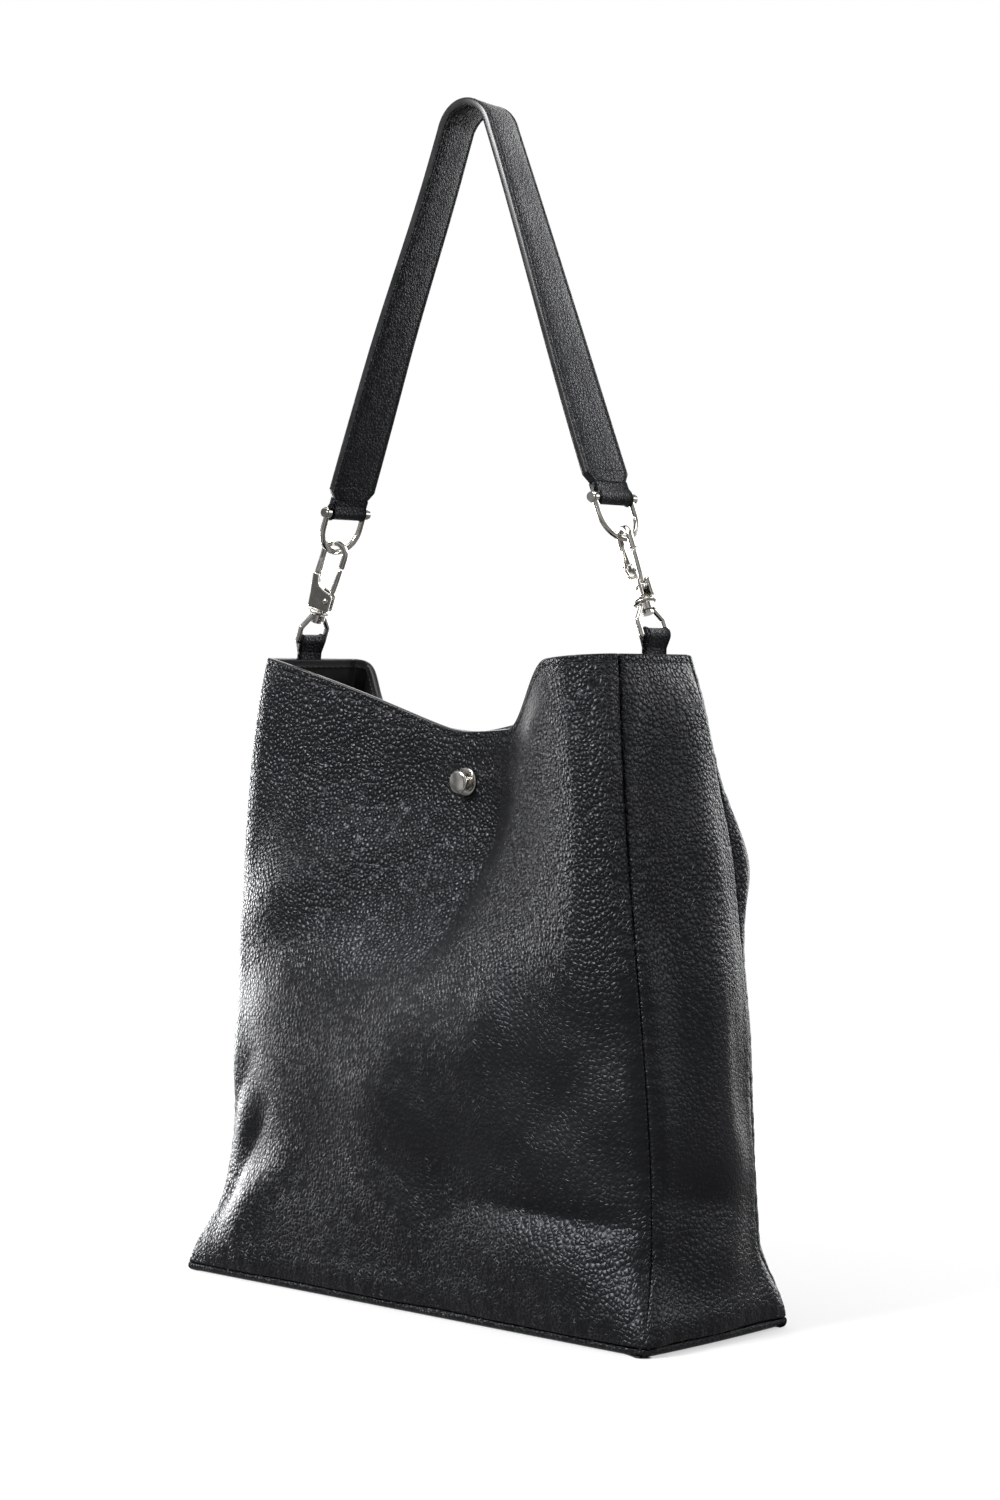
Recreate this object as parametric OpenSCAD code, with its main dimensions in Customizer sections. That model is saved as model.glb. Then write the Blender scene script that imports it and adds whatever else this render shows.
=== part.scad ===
// Soft leather shoulder bag: four wall panels on a stiff base, a pinched mouth
// held by a magnetic snap, and a clip-on strap carried by two swivel snap hooks.
// Frame: +Z up, X along the width, Y through the depth, front face towards -Y,
// origin on the floor at the middle of the base. Millimetres.

/* [Bag body] */
// Width of the base, outside
base_w = 340; // [332:1:344]
// Depth of the base, outside
base_d = 112; // [106:1:114]
// Height of the mouth at the four corner seams
side_h = 340; // [330:1:350]
// Height of the mouth in the middle of the front and back
mid_h = 300; // [294:1:306]
// Distance between the two side seams at the mouth
mouth_w = 256; // [250:1:260]
// Depth of a side gusset at the mouth
mouth_d = 54; // [50:1:58]
// Thickness of the leather panels
leather = 1.8; // [1.6:0.1:1.8]
// Height of the base panel's turned-up rim
rim_h = 5; // [5:1:7]

/* [Strap] */
// Width of the strap
strap_w = 31; // [28:1:32]
// Width of the strap's narrow ends, between the shackle's eyes
strap_end_w = 23.2; // [22:0.2:23.2]
// Thickness of the strap: two leathers and a core
strap_t = 4.4; // [4:0.2:4.8]
// Radius of the strap's centreline over the shoulder
strap_r = 18; // [16:1:24]
// Lean of the strap's legs and of the hooks from the vertical
lean = 22.4; // [20:0.2:24]

/* [Hardware] */
// Radius of the swivel eye's wire
eye_wire_r = 1.5; // [1.3:0.1:1.5]
// Radius of the snap hook's wire
hook_wire_r = 1.8; // [1.6:0.1:1.9]
// Radius of the shackle bow's wire
bow_wire_r = 1.7; // [1.5:0.1:1.7]
// Turn of the left hook about its own length
left_swivel = 25; // [0:5:25]
// Turn of the right hook about its own length
right_swivel = -25; // [-25:5:0]

/* [Hidden] */

// Panels, counted round the bag from the front.
FRONT = 0;
RIGHT = 1;
BACK = 2;
LEFT = 3;
step = 0.002;          // small step for tangents
front_cols = 20;       // columns in the front and back sheets
side_cols = 6;         // columns in the gusset sheets
wall_rows = 12;        // rows in the wall sheets
facing_v = 0.86;       // where the facing starts, as a share of the wall's height
snug = 0.2;            // gap between layers that lie on each other
facing_t = 1.4;        // facing of the front and back
side_facing_t = 2.6;   // facing of the gussets, with a recess for the tab
lining_gap = 2;        // gap between leather and lining
lining_t = 0.6;

// Closure, through the front at its middle.
snap_z = mid_h - 26;
pinch_y = 5;           // outer leather surface at the pinch
snap_r = 8;
snap_half_t = 1.6;

// Chain of hardware, measured along the lean from the eye's bar.
tab_x = mouth_w / 2 - 0.9;
tab_z = side_h + 10;
tab_w = 15;
tab_lean = 9.8;
hook_bar_l = 58;       // centre of the hook's top bar
bow_drop = hook_wire_r + bow_wire_r + 1.5;
bow_reach = 22.3;      // from the shackle's pin to the middle of the bow's wire
pin_l = hook_bar_l - bow_drop + bow_reach;
eye_in_w = 16.4;       // clear width inside the eye
boss_l = 13.2;         // lower face of the eye's boss
boss_t = 3.2;
flange_l = 17;         // lower face of the hook's flange
block_l = 19;
block_top = 32;
post_r = 1.5;
run = 0.05;            // radial running clearance
hook_r = 6.3;          // centreline radius of the hook's crown
crown_l = hook_bar_l - hook_r;
nose_l = 45;           // lower end of the hook's nose
gate_x = 3.4;          // gate pin, across from the hook's axis
gate_l = 25;
gate_pin_r = 1;
slot_w = 3.6;
bow_r = 13.6;          // centreline radius of the bow
pin_r = 1.5;
turn_l = 8;            // where the strap starts, above the shackle's pin
leg_end_l = 5;         // taper from the strap's width to the end's width
fine = 48;

function unit(p) = p / norm(p);
function mix(a, b, t) = a + (b - a) * t;
function smooth(t) = let (c = min(1, max(0, t))) c * c * (3 - 2 * c);
function bezier(p, t) =
  len(p) == 1 ? p[0] : bezier([for (i = [0:len(p) - 2]) mix(p[i], p[i + 1], t)], t);
function flare(v, reach) = 1 - smooth(v / reach);

// Corner seams by number: front right, back right, back left, front left.
FR = 0;
BR = 1;
BL = 2;
FL = 3;
// Distance of each corner seam from the middle plane of the width, from base to mouth.
SEAM_X = [[-8, -8, -20, 12, 0], [-10, -16, -22, 18, -1], [-8, -18, -22, 14, 0], [-10, -14, -18, 22, 3]];
// The same from the middle plane of the depth.
SEAM_Y = [[-11, 32, 40, 38, 0], [-11, 42, 52, 40, 0], [-11, 36, 38, 38, 3], [-11, 19, 31, 36, 3]];
// Where each quarter of the mouth starts to draw in to the pinch.
DRAW_IN = [0.42, 0.45, 0.3, 0.42];
// The same at the middle of its panel, shared with the quarter beside it.
MID_IN = [0.42, 0.375, 0.375, 0.42];
// Where it is fully drawn in.
DRAWN = [0.88, 0.82, 0.82, 0.88];
// How fast the mouth's edge falls from each corner.
FALL = [1, 0.9, 1, 1.25];
// A shoulder in that fall: its share of it, and from where to where, as shares of the half-width.
LOBE = [[0.8, 0.3, 0.74], [0, 0, 1], [0.5, 0.72, 1], [0, 0, 1]];
// How far a quarter stands out above its middle.
HUMP = [0, 34, 0, 0];

function corner(c, v) =
  let (
    half_w = base_w / 2,
    half_d = base_d / 2,
    x = SEAM_X[c],
    y = SEAM_Y[c]
  ) [
    bezier([half_w + x[0], half_w + x[1], half_w + x[2], mouth_w / 2 + x[3], mouth_w / 2 + x[4]], v)
      + 8 * flare(v, 0.12),
    bezier([half_d + y[0], y[1], y[2], y[3], mouth_d / 2 + y[4]], v) + 11 * flare(v, 0.12)
  ];
function way(c) = [c == FR || c == BR ? 1 : -1, c == BR || c == BL ? 1 : -1];
function gusset_swell(v) = 1.5 + 8.5 * sin(180 * pow(v, 0.7));

// Control points of a quarter's outline, from the corner seam to the middle.
function base_outline(x, y) =
  let (d = base_d / 2) [[x, y], [x - 4, d], [x * 0.66, d], [x * 0.33, d], [0, d]];
BELLY = [[16, 62, 60], [28, 70, 60], [14, 62, 62], [16, 55, 60]];
function belly_outline(c, x, y) =
  let (b = BELLY[c]) [[x, y], [x - 18, y + b[0]], [x * 0.66, b[1]], [x * 0.33, b[2]], [0, 60]];
MOUTH = [
  [[0.99, 53], [0.74, 73], [0.48, 5]], [[0.93, 47], [0.74, 58], [0.4, 5]],
  [[0.95, 56], [0.9, 36], [0.62, 4]], [[0.86, 35], [0.62, 26], [0.35, 6]]
];
function mouth_outline(c, x, y) = concat(
  [[x, y]], [for (m = MOUTH[c]) [x * m[0], m[1]]], [[0, pinch_y]]);
function drawn(c, from, v) = smooth((v - from[c]) / (DRAWN[c] - from[c]));
function outline(c, v) =
  let (
    p = corner(c, v),
    low = mix(base_outline(p.x, p.y), belly_outline(c, p.x, p.y), smooth(v / 0.2)),
    high = mouth_outline(c, p.x, p.y),
    hump = HUMP[c] * exp(-pow((v - 0.69) / 0.1, 2))
  ) [
    for (k = [0:4])
      mix(low[k], high[k], drawn(c, k < 3 ? DRAW_IN : MID_IN, v)) + (k == 1 ? [0.4 * hump, hump] : [0, 0])
  ];
function scaled(p, k) = [p.x * k.x, p.y * k.y];

// Plan position on a panel, s from -1 to 1 going round the bag as seen from above.
function quarter(panel, s) = s >= 0 ? panel : (panel + 3) % 4;
function plan(panel, s, v) =
  panel == FRONT || panel == BACK
  ? let (c = quarter(panel, s)) scaled(bezier(outline(c, v), 1 - abs(s)), way(c))
  : let (
    a = scaled(corner((panel + 3) % 4, v), way((panel + 3) % 4)),
    b = scaled(corner(panel, v), way(panel))
  ) mix(a, b, (s + 1) / 2) + [(panel == RIGHT ? 1 : -1) * gusset_swell(v) * (1 - s * s), 0];

// Outward normal in plan, shared by both panels at a seam so that their edges meet.
function heading(panel, s, v) =
  s > 1 - step ? unit(
    unit(plan(panel, 1, v) - plan(panel, 1 - step, v))
    + unit(plan((panel + 1) % 4, -1 + step, v) - plan((panel + 1) % 4, -1, v)))
  : s < -1 + step ? heading((panel + 3) % 4, 1, v)
  : unit(plan(panel, s + step, v) - plan(panel, s - step, v));
function outward(panel, s, v) = let (h = heading(panel, s, v)) [h.y, -h.x];

// Height of the mouth's edge above a point of the wall.
function dip(c, q) =
  let (soft = 0.15, t = (norm([q, soft]) - soft) / (norm([1, soft]) - soft), b = LOBE[c])
  b[0] * smooth((q - b[1]) / (b[2] - b[1])) + (1 - b[0]) * (1 - pow(1 - t, FALL[c]));
function mouth_z(panel, s) =
  panel == RIGHT || panel == LEFT ? side_h
  : let (c = quarter(panel, s))
    mix(mid_h, side_h, dip(c, min(1, abs(plan(panel, s, 1).x) / corner(c, 1).x)));

function wall_point(panel, s, v, inset, foot = rim_h) =
  let (p = plan(panel, s, v) - inset * outward(panel, s, v))
  [p.x, p.y, foot + v * (mouth_z(panel, s) - foot)];

// A closed sheet of one panel from height share v0 to v1, between two insets.
module sheet(panel, v0, v1, inset0, inset1, rows, cols, foot = rim_h) {
  n = cols + 1;
  m = rows + 1;
  grid = n * m;
  function at(k, i, j) = k * grid + j * n + i;
  points = [
    for (inset = [inset0, inset1], j = [0:rows], i = [0:cols])
      wall_point(panel, -1 + 2 * i / cols, mix(v0, v1, j / rows), inset, foot)
  ];
  // Edge of the grid, walked anticlockwise as seen from outside. Both panels split a seam the same way.
  rim = concat(
    [for (i = [0:cols - 1]) [i, 0]],
    [for (j = [0:rows - 1]) [cols, j]],
    [for (i = [cols:-1:1]) [i, rows]],
    [for (j = [rows:-1:1]) [0, j]]
  );
  faces = concat(
    [for (j = [0:rows - 1], i = [0:cols - 1], h = [0, 1])
      h == 0 ? [at(0, i, j), at(0, i, j + 1), at(0, i + 1, j + 1)]
      : [at(0, i, j), at(0, i + 1, j + 1), at(0, i + 1, j)]],
    [for (j = [0:rows - 1], i = [0:cols - 1], h = [0, 1])
      h == 0 ? [at(1, i, j), at(1, i + 1, j + 1), at(1, i, j + 1)]
      : [at(1, i, j), at(1, i + 1, j), at(1, i + 1, j + 1)]],
    [for (k = [0:len(rim) - 1], h = [0, 1])
      let (p = rim[k], q = rim[(k + 1) % len(rim)], falls = q[1] < p[1], a = falls ? p : q, b = falls ? q : p)
      h == 0 ? [at(0, p[0], p[1]), at(0, q[0], q[1]), at(1, a[0], a[1])]
      : [at(0, b[0], b[1]), at(1, q[0], q[1]), at(1, p[0], p[1])]]
  );
  polyhedron(points, faces);
}

// The base's outline, set in from the outside.
module base_shape(inset) {
  polygon([
    for (panel = [FRONT:LEFT], i = [0:(panel % 2 == 0 ? front_cols : side_cols) - 1])
      let (s = -1 + 2 * i / (panel % 2 == 0 ? front_cols : side_cols))
      plan(panel, s, 0) - inset * outward(panel, s, 0)
  ]);
}

// A round part along Y from y0 to y1, at the snap's height.
module snap_disc(r, y0, y1) {
  translate([0, y1, snap_z]) rotate([90, 0, 0]) cylinder(r = r, h = y1 - y0, $fn = fine);
}

module front_panel() {
  color("#1b1c20") difference() {
    sheet(FRONT, 0, 1, 0, leather, wall_rows, front_cols);
    snap_disc(1.7, -pinch_y - 3, 0);
    // The leather is pressed flat under the stud.
    snap_disc(8, -pinch_y - 6, -pinch_y - 0.1);
  }
}

module back_panel() {
  color("#1b1c20") sheet(BACK, 0, 1, 0, leather, wall_rows, front_cols);
}

module gusset(panel) {
  color("#1d1e22") sheet(panel, 0, 1, 0, leather, wall_rows, side_cols);
}

module base_panel() {
  color("#18191c") difference() {
    linear_extrude(rim_h) base_shape(0);
    translate([0, 0, 2]) linear_extrude(rim_h) base_shape(2);
  }
}

module base_board() {
  color("#6d5a45") translate([0, 0, 2.2]) linear_extrude(2) base_shape(2.6);
}

module facing(panel) {
  inset = leather + snug;
  color("#202124") difference() {
    sheet(panel, facing_v, 1, inset, inset + facing_t, 2, front_cols);
    if (panel == FRONT) snap_disc(1.7, -pinch_y - 3, 0);
  }
}

module side_facing(panel) {
  inset = leather + snug;
  side = panel == RIGHT ? 1 : -1;
  color("#202124") difference() {
    sheet(panel, facing_v, 1, inset, inset + side_facing_t, 2, side_cols);
    tab_root(side, tab_w + 0.6, 2.4, 14.4);
  }
}

module lining(panel, cols) {
  inset = leather + lining_gap;
  color("#2c2a2b") sheet(panel, 0.008, facing_v - 0.006, inset, inset + lining_t, wall_rows, cols);
}

module base_lining() {
  color("#2c2a2b") translate([0, 0, 4.4]) linear_extrude(0.6) base_shape(3);
}

// Where a tab's root lies, against the inside of its gusset.
function root_x(side) = tab_x + (side > 0 ? -1.3 : 0.4);

// The flat root of a tab, between the gusset and its facing.
module tab_root(side, w, t, h) {
  translate([side * root_x(side), 0, side_h + 1]) rotate([0, -side * tab_lean, 0])
    translate([-t / 2, -w / 2, -h]) cube([t, w, h]);
}

// A leather strip folded over the eye's bar.
module tab(side) {
  outer_r = eye_wire_r + 2;
  root = side * (root_x(side) - tab_x);
  color("#17181b") difference() {
    union() {
      tab_root(side, tab_w, 2, 13.5);
      translate([side * tab_x, tab_w / 2, 0]) rotate([90, 0, 0]) linear_extrude(tab_w) {
        translate([0, tab_z]) circle(r = outer_r, $fn = fine);
        polygon([[root - 0.95, side_h + 0.2], [root + 0.95, side_h + 0.2],
          [outer_r * 0.96, tab_z - 0.9], [-outer_r * 0.96, tab_z - 0.9]]);
      }
    }
    translate([side * tab_x, 0, tab_z]) rotate([90, 0, 0])
      cylinder(r = eye_wire_r + 0.2, h = tab_w + 2, center = true, $fn = fine);
  }
}

module stud_cap() {
  y = -pinch_y - 0.4;
  color("#d9d6cf") {
    snap_disc(2.6, y - 6, y - 1.6);
    snap_disc(5.6, y - 7.6, y - 5.4);
    snap_disc(6.2, y - 7.2, y - 5.8);
  }
}

module stud_flange() {
  y = -pinch_y - 0.4;
  color("#d9d6cf") difference() {
    union() {
      snap_disc(7.6, y - 0.9, y);
      snap_disc(6.9, y - 1.5, y);
    }
    snap_disc(1.7, y - 3, y + 1);
  }
}

module stud_screw() {
  y = -pinch_y + leather + snug + facing_t;
  color("#b9b6ae") {
    snap_disc(1.5, -pinch_y - 2, y + 0.2);
    snap_disc(3.2, y + 0.1, y + 0.8);
  }
}

module snap_socket() {
  color("#c9c6be") difference() {
    snap_disc(snap_r, -snap_half_t + 0.05, -0.05);
    snap_disc(3.6, -snap_half_t - 1, -0.7);
  }
}

module snap_plug() {
  color("#c9c6be") snap_disc(snap_r, 0.05, snap_half_t - 0.05);
}

// Puts its children in a side's chain frame: origin at the eye's bar, +Z along the lean.
module in_chain(side, l = 0, turn = 0) {
  translate([side * tab_x, 0, tab_z]) rotate([0, -side * lean, 0])
    translate([0, 0, l]) rotate([0, 0, turn]) children();
}

// A round wire through a row of points, with round ends.
module wire(points, r) {
  for (p = points) translate(p) sphere(r = r, $fn = 32);
  for (i = [1:len(points) - 1]) {
    d = points[i] - points[i - 1];
    translate(points[i - 1]) rotate([0, acos(d.z / norm(d)), atan2(d.y, d.x)])
      cylinder(r = r, h = norm(d), $fn = 32);
  }
}

module eye(side) {
  y = eye_in_w / 2 + eye_wire_r;
  shoulder = 8;
  neck = [0, 4.2, boss_l + boss_t / 2];
  color("#cfccc5") in_chain(side) difference() {
    union() {
      wire([-neck + [0, 0, 2 * neck.z], [0, -y, shoulder], [0, -y, 0], [0, y, 0], [0, y, shoulder], neck],
        eye_wire_r);
      translate([0, 0, boss_l]) cylinder(r = 4.4, h = boss_t, $fn = fine);
    }
    translate([0, 0, boss_l - 3]) cylinder(r = post_r + run, h = boss_t + 6, $fn = fine);
    translate([0, 0, boss_l - 3.2]) cylinder(r = 3.3, h = 3.2, $fn = fine);
  }
}

module post(side) {
  color("#bdbab2") in_chain(side) {
    translate([0, 0, boss_l - 2]) cylinder(r = 2.9, h = 1.8, $fn = fine);
    translate([0, 0, boss_l - 0.4]) cylinder(r = post_r, h = block_l - boss_l, $fn = fine);
  }
}

module hook(side, turn) {
  spine = -hook_r;
  color("#dcd9d2") in_chain(side, 0, turn) difference() {
    union() {
      translate([0, 0, flange_l]) cylinder(r = 6, h = block_l - flange_l, $fn = fine);
      translate([-6.2, -3.6, block_l - 0.5]) cube([12.4, 7.2, 9.5]);
      // Shoulders narrow from the block into the spine.
      translate([0, 3.6, 0]) rotate([90, 0, 0]) linear_extrude(7.2)
        polygon([[-6.2, 27.9], [6.2, 27.9], [6.2, 29], [-1.2, block_top], [-4.4, 36], [-8, 38]]);
      wire([[spine, 0, 34], [spine, 0, crown_l]], hook_wire_r);
      translate([0, 0, crown_l]) rotate([90, 0, 0])
        rotate_extrude(angle = 180, $fn = fine) translate([hook_r, 0]) circle(r = hook_wire_r, $fn = 32);
      wire([[hook_r, 0, crown_l], [hook_r - 0.3, 0, nose_l]], hook_wire_r);
    }
    // Slot for the gate, open towards its own side.
    translate([-0.6, -slot_w / 2, gate_l - 4]) cube([20, slot_w, 18]);
    translate([gate_x, 0, gate_l]) rotate([90, 0, 0])
      cylinder(r = gate_pin_r, h = 12, center = true, $fn = fine);
    translate([0, 0, flange_l - 1]) cylinder(r = post_r, h = block_l - flange_l + 0.8, $fn = fine);
    // The gate's tip rests in a notch below the nose.
    translate([hook_r - 5, -5, nose_l - 5]) cube([10, 10, 5]);
  }
}

module gate(side, turn) {
  tip = [hook_r - 0.3, 0, nose_l - 0.4];
  color("#d2cfc8") in_chain(side, 0, turn) difference() {
    union() {
      translate([gate_x, 0.2, gate_l]) rotate([90, 0, 0]) cylinder(r = 2.2, h = 1.8, $fn = fine);
      translate([0, 1.5, 0]) rotate([90, 0, 0]) linear_extrude(3)
        polygon([[gate_x + 0.2, gate_l + 3.4], [gate_x + 3, gate_l + 3.4],
          [tip.x + 1.6, tip.z], [tip.x - 1.2, tip.z], [gate_x + 0.2, gate_l + 8]]);
      translate([0, 0.2, 0]) rotate([90, 0, 0]) linear_extrude(1.8)
        polygon([[gate_x - 1.6, gate_l + 1.4], [gate_x + 2.1, gate_l + 0.4],
          [gate_x + 3, gate_l + 4], [gate_x + 0.2, gate_l + 4]]);
    }
    translate([gate_x, 0, gate_l]) rotate([90, 0, 0])
      cylinder(r = gate_pin_r + run, h = 8, center = true, $fn = fine);
  }
}

module gate_pin(side, turn) {
  color("#a9a69f") in_chain(side, 0, turn) translate([gate_x, 0, gate_l]) rotate([90, 0, 0])
    cylinder(r = gate_pin_r, h = 7.4, center = true, $fn = fine);
}

// Two coils of a torsion spring beside the gate's hub.
module gate_spring(side, turn) {
  color("#8f8d88") in_chain(side, 0, turn) for (y = [0.65, 1.25])
    translate([gate_x, y, gate_l]) rotate([90, 0, 0])
      rotate_extrude($fn = fine) translate([1.6, 0]) circle(r = 0.27, $fn = 16);
}

module bow(side) {
  color("#d6d3cc") in_chain(side, pin_l) difference() {
    union() {
      translate([0, 0, bow_r - bow_reach]) rotate([0, 0, 90]) rotate([-90, 0, 0])
        rotate_extrude(angle = 180, $fn = fine) translate([bow_r, 0]) circle(r = bow_wire_r, $fn = 32);
      for (s = [-1, 1]) {
        wire([[0, s * bow_r, bow_r - bow_reach], [0, s * bow_r, -2.2]], bow_wire_r);
        translate([0, s * bow_r + 1.6, 0]) rotate([90, 0, 0]) cylinder(r = 3, h = 3.2, $fn = fine);
      }
    }
    rotate([90, 0, 0]) cylinder(r = pin_r + run, h = 40, center = true, $fn = fine);
  }
}

module pin(side) {
  color("#c7c4bc") in_chain(side, pin_l) rotate([90, 0, 0]) {
    translate([0, 0, -14.8]) cylinder(r = pin_r, h = 30.2, $fn = fine);
    translate([0, 0, 15.3]) cylinder(r = 2.4, h = 1.4, $fn = fine);
  }
}

module pin_screw(side) {
  color("#c7c4bc") in_chain(side, pin_l) rotate([90, 0, 0])
    translate([0, 0, -16.7]) cylinder(r = 2.4, h = 1.4, $fn = fine);
}

// Strap leather folded round the shackle's pin.
module strap_turn(side) {
  outer_r = pin_r + 2.1;
  half = strap_t / 2;
  color("#1a1b1e") in_chain(side, pin_l) difference() {
    translate([0, strap_end_w / 2, 0]) rotate([90, 0, 0]) linear_extrude(strap_end_w) {
      circle(r = outer_r, $fn = fine);
      polygon([[-outer_r * 0.97, 0.9], [outer_r * 0.97, 0.9], [half, turn_l - 1], [half, turn_l],
        [-half, turn_l], [-half, turn_l - 1]]);
    }
    rotate([90, 0, 0]) cylinder(r = pin_r + 0.2, h = 40, center = true, $fn = fine);
  }
}

// The strap's arch seen from the front, between two distances from its centreline.
pin_x = tab_x - pin_l * sin(lean);
pin_z = tab_z + pin_l * cos(lean);
arch_z = pin_z + (pin_x * cos(lean) - strap_r) / sin(lean);
leg_l = pin_x * sin(lean) + (arch_z - pin_z) * cos(lean);

module strap_band(from, to, w) {
  translate([0, w / 2, 0]) rotate([90, 0, 0]) linear_extrude(w) {
    translate([0, arch_z]) difference() {
      circle(r = strap_r + to, $fn = 96);
      circle(r = strap_r + from, $fn = 96);
      polygon([[0, 0], 99 * [cos(lean), sin(lean)], [99, -99], [-99, -99],
        99 * [-cos(lean), sin(lean)]]);
    }
    for (side = [-1, 1]) translate([side * pin_x, pin_z]) rotate(side * lean)
      translate([side > 0 ? from : -to, turn_l + 0.1]) square([to - from, leg_l - turn_l]);
  }
}

// Cuts the strap's lower corners down to the width of its ends.
module strap_corners() {
  for (side = [-1, 1], s = [-1, 1]) in_chain(side, pin_l + turn_l)
    translate([20, 0, 0]) rotate([0, -90, 0]) linear_extrude(40)
      polygon([[-5, s * strap_end_w / 2], [0, s * strap_end_w / 2],
        [leg_end_l, s * (strap_w / 2 + 0.1)], [leg_end_l, s * 40], [-5, s * 40]]);
}

module strap_layer(from, to, w = strap_w) {
  difference() {
    strap_band(from, to, w);
    strap_corners();
  }
}

module strap_outer() { color("#1d1e21") strap_layer(strap_t / 2 - 1.6, strap_t / 2); }
module strap_core() {
  color("#3c3832") strap_layer(-strap_t / 2 + 1.65, strap_t / 2 - 1.65, strap_end_w);
}
module strap_inner() { color("#1d1e21") strap_layer(-strap_t / 2, -strap_t / 2 + 1.6); }

front_panel();
back_panel();
gusset(LEFT);  // left_gusset
gusset(RIGHT);  // right_gusset
base_panel();
base_board();
facing(FRONT);  // front_facing
facing(BACK);  // back_facing
side_facing(LEFT);  // left_facing
side_facing(RIGHT);  // right_facing
lining(FRONT, front_cols);  // front_lining
lining(BACK, front_cols);  // back_lining
union() {  // side_linings
  lining(LEFT, side_cols);
  lining(RIGHT, side_cols);
}
base_lining();
tab(-1);  // left_tab
tab(1);  // right_tab
stud_cap();
stud_flange();
stud_screw();
snap_socket();
snap_plug();
strap_outer();
strap_core();
strap_inner();
strap_turn(-1);  // left_strap_turn
strap_turn(1);  // right_strap_turn
bow(-1);  // left_bow
pin(-1);  // left_pin
pin_screw(-1);  // left_pin_screw
bow(1);  // right_bow
pin(1);  // right_pin
pin_screw(1);  // right_pin_screw
eye(-1);  // left_eye
post(-1);  // left_post
hook(-1, left_swivel);  // left_hook
gate(-1, left_swivel);  // left_gate
gate_pin(-1, left_swivel);  // left_gate_pin
gate_spring(-1, left_swivel);  // left_gate_spring
eye(1);  // right_eye
post(1);  // right_post
hook(1, right_swivel);  // right_hook
gate(1, right_swivel);  // right_gate
gate_pin(1, right_swivel);  // right_gate_pin
gate_spring(1, right_swivel);  // right_gate_spring
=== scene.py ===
"""Looks for the shoulder bag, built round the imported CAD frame.

Shapes are worked out in millimetres, as in the CAD, and made in metres. +Z is up and the front faces -Y.
"""

import math

import bpy
import numpy as np
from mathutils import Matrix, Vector


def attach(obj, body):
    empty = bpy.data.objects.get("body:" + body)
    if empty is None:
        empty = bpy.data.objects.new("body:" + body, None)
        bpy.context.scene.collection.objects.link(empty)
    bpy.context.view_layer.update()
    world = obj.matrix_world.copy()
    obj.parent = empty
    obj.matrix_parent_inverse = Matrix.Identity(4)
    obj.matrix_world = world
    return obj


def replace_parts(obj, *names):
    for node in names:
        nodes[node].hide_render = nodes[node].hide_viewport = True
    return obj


MM = 0.001
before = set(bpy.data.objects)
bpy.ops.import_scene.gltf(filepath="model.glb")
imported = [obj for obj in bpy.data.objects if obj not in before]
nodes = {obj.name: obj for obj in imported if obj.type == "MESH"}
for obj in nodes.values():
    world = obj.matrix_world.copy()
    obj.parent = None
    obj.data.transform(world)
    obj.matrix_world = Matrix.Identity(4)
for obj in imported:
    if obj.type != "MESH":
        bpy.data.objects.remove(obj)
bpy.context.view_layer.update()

# ---------------------------------------------------------------- camera

CAMERA_AZIMUTH = 44.4
CAMERA_DISTANCE = 1.6619
CAMERA_HEIGHT = 0.3199
CAMERA_PITCH = 1.3
camera = bpy.data.objects.new("camera", bpy.data.cameras.new("camera"))
bpy.context.scene.collection.objects.link(camera)
bpy.context.scene.camera = camera
az, pitch = math.radians(CAMERA_AZIMUTH), math.radians(CAMERA_PITCH)
camera.location = (CAMERA_DISTANCE * math.sin(az), -CAMERA_DISTANCE * math.cos(az), CAMERA_HEIGHT)
look = Vector((-math.sin(az) * math.cos(pitch), math.cos(az) * math.cos(pitch), -math.sin(pitch)))
camera.rotation_euler = look.to_track_quat("-Z", "Y").to_euler()
camera.data.sensor_width = 36
camera.data.lens = 75.33
camera.data.shift_x = 0.0176
camera.data.shift_y = 0.0107
camera.data.clip_start, camera.data.clip_end = 0.05, 50

# ---------------------------------------------------------------- mesh helpers


def make(name, verts, faces, material, body="bag"):
    """A smooth mesh piece from points in millimetres, riding on a body."""
    data = bpy.data.meshes.new(name)
    data.from_pydata((np.asarray(verts, float) * MM).tolist(), [], [list(map(int, f)) for f in faces])
    data.materials.append(material)
    data.shade_smooth()
    data.update()
    obj = bpy.data.objects.new(name, data)
    bpy.context.scene.collection.objects.link(obj)
    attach(obj, body)
    return obj


def quads(rows, cols, wrap_rows=False, wrap_cols=False, start=0):
    """Quad faces of a grid of points stored row by row."""
    r = np.arange(rows if wrap_rows else rows - 1)
    c = np.arange(cols if wrap_cols else cols - 1)
    r, c = [a.ravel() for a in np.meshgrid(r, c, indexing="ij")]
    r1, c1 = (r + 1) % rows, (c + 1) % cols
    return (np.stack([r * cols + c, r * cols + c1, r1 * cols + c1, r1 * cols + c], 1) + start).tolist()


def tube_faces(rows, cols):
    """Faces of a row of closed sections, with a cap on each end."""
    caps = [list(range(cols))[::-1], [(rows - 1) * cols + i for i in range(cols)]]
    return quads(rows, cols, wrap_cols=True) + caps


def unit(v):
    return v / np.maximum(np.linalg.norm(v, axis=-1, keepdims=True), 1e-12)


def smooth(t):
    t = np.clip(t, 0, 1)
    return t * t * (3 - 2 * t)


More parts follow.
